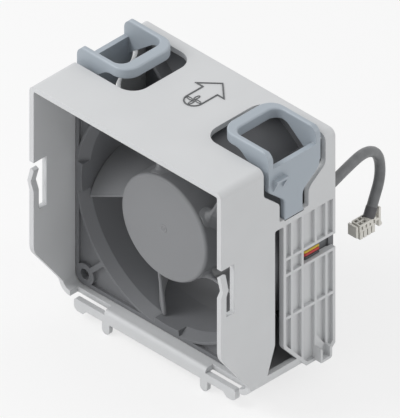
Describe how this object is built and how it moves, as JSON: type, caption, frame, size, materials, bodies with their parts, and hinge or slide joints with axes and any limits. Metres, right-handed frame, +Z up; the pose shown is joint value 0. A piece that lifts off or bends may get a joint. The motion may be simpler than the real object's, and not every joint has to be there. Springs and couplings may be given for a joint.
{
  "type": "server fan module",
  "caption": "Tool-less fan tray: a square axial fan in an open moulded carrier with two squeeze latches, guide tongues and a side lead with a plug.",
  "frame": {"origin": "middle of the carrier floor's flat underside", "axes": "+Z up towards the finger loops, -Y to the intake side, +Y the way the air leaves"},
  "size_m": [0.1024, 0.0979, 0.1099],
  "materials": {
    "carrier_plastic": "fine moulded satin texture",
    "latch_plastic": "satin moulded, polished by fingers",
    "frame_plastic": "glass-filled matte",
    "impeller_plastic": "glass-filled semi-matte",
    "yoke_steel": "zinc plated deep drawn steel",
    "magnet_compound": "bonded ferrite, matte",
    "ground_steel": "ground and polished",
    "spring_steel": "blackened spring steel",
    "turned_brass": "turned",
    "bearing_steel": "ground bearing steel",
    "lamination_steel": "stacked sheets, varnished",
    "bobbin_plastic": "moulded nylon",
    "winding_copper": "enamelled wire",
    "board_laminate": "lacquered laminate",
    "chip_resin": "moulded resin",
    "lead_sheath": "extruded wire sheath",
    "grommet_rubber": "moulded rubber",
    "cable_sheath": "extruded soft sheath",
    "connector_plastic": "moulded nylon, natural",
    "terminal_tin": "tin plated"
  },
  "bodies": {
    "carrier_body": {"carrier": "carrier_plastic", "fan_frame": "frame_plastic", "bearing_tube": "turned_brass", "front_bearing_outer": "bearing_steel", "rear_bearing_outer": "bearing_steel", "bearing_balls": "bearing_steel", "stator_core": "lamination_steel", "stator_bobbins": "bobbin_plastic", "stator_windings": "winding_copper", "circuit_board": "board_laminate", "drive_chips": "chip_resin", "lead_wires": "lead_sheath", "cable_grommet": "grommet_rubber", "fan_cable": "cable_sheath", "connector_body": "connector_plastic", "connector_terminals": "terminal_tin"},
    "rotor": {"impeller": "impeller_plastic", "rotor_yoke": "yoke_steel", "rotor_magnet": "magnet_compound", "shaft": "ground_steel", "retaining_clip": "spring_steel", "front_bearing_inner": "bearing_steel", "rear_bearing_inner": "bearing_steel"},
    "latch_right_lever": {"latch_right": "latch_plastic"},
    "latch_left_lever": {"latch_left": "latch_plastic"}
  },
  "joints": [
    {"name": "rotor_spin", "type": "hinge", "parent": "carrier_body", "child": "rotor", "pos_m": [0, 0, 0.0484], "axis": [0, 1, 0], "continuous": true},
    {"name": "latch_right_squeeze", "type": "hinge", "parent": "carrier_body", "child": "latch_right_lever", "pos_m": [0.0473, 0.00795, 0.0703], "axis": [0, -1, 0], "range_deg": [0, 9], "stiffness_Nm_per_rad": 0.25},
    {"name": "latch_left_squeeze", "type": "hinge", "parent": "carrier_body", "child": "latch_left_lever", "pos_m": [-0.0473, 0.00795, 0.0703], "axis": [0, 1, 0], "range_deg": [0, 9], "stiffness_Nm_per_rad": 0.25}
  ]
}
